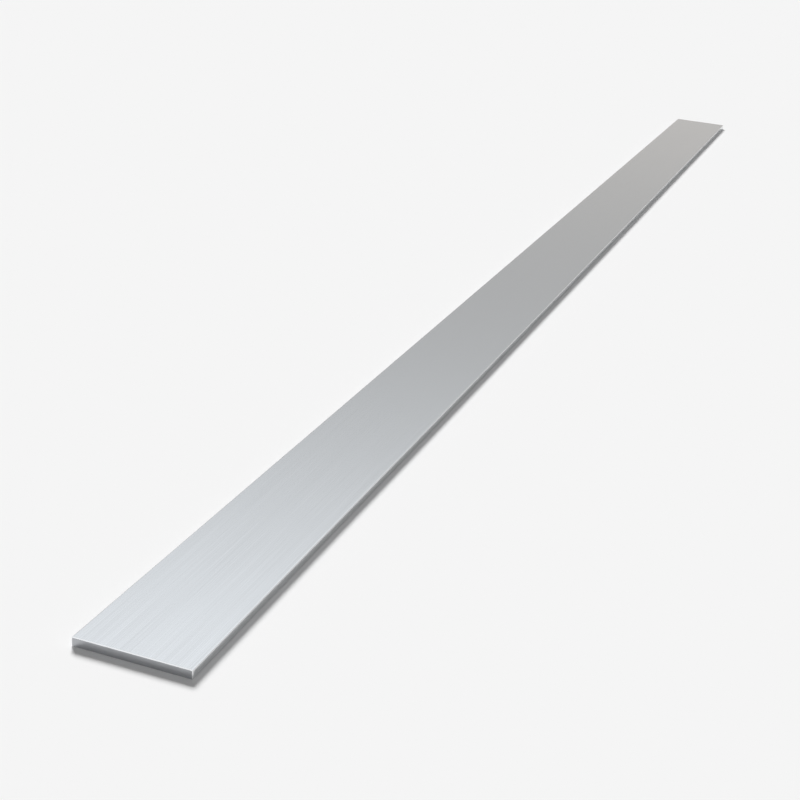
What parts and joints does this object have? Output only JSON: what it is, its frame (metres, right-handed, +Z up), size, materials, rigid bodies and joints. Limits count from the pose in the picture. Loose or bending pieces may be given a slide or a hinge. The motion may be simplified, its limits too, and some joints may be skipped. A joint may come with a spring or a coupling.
{
  "type": "stainless steel flat bar",
  "caption": "Straight length of rolled stainless steel flat bar with rolled long corners and sawn, deburred ends.",
  "frame": {"origin": "middle of the underside, on the surface that the bar lies on", "axes": "+X along the bar, +Y across its width, +Z up through its thickness"},
  "size_m": [3, 0.12, 0.01],
  "materials": {
    "stainless_steel": "smooth satin mill finish, with fine lines along the bar"
  },
  "bodies": {
    "root": {"flat_bar": "stainless_steel"}
  },
  "joints": []
}
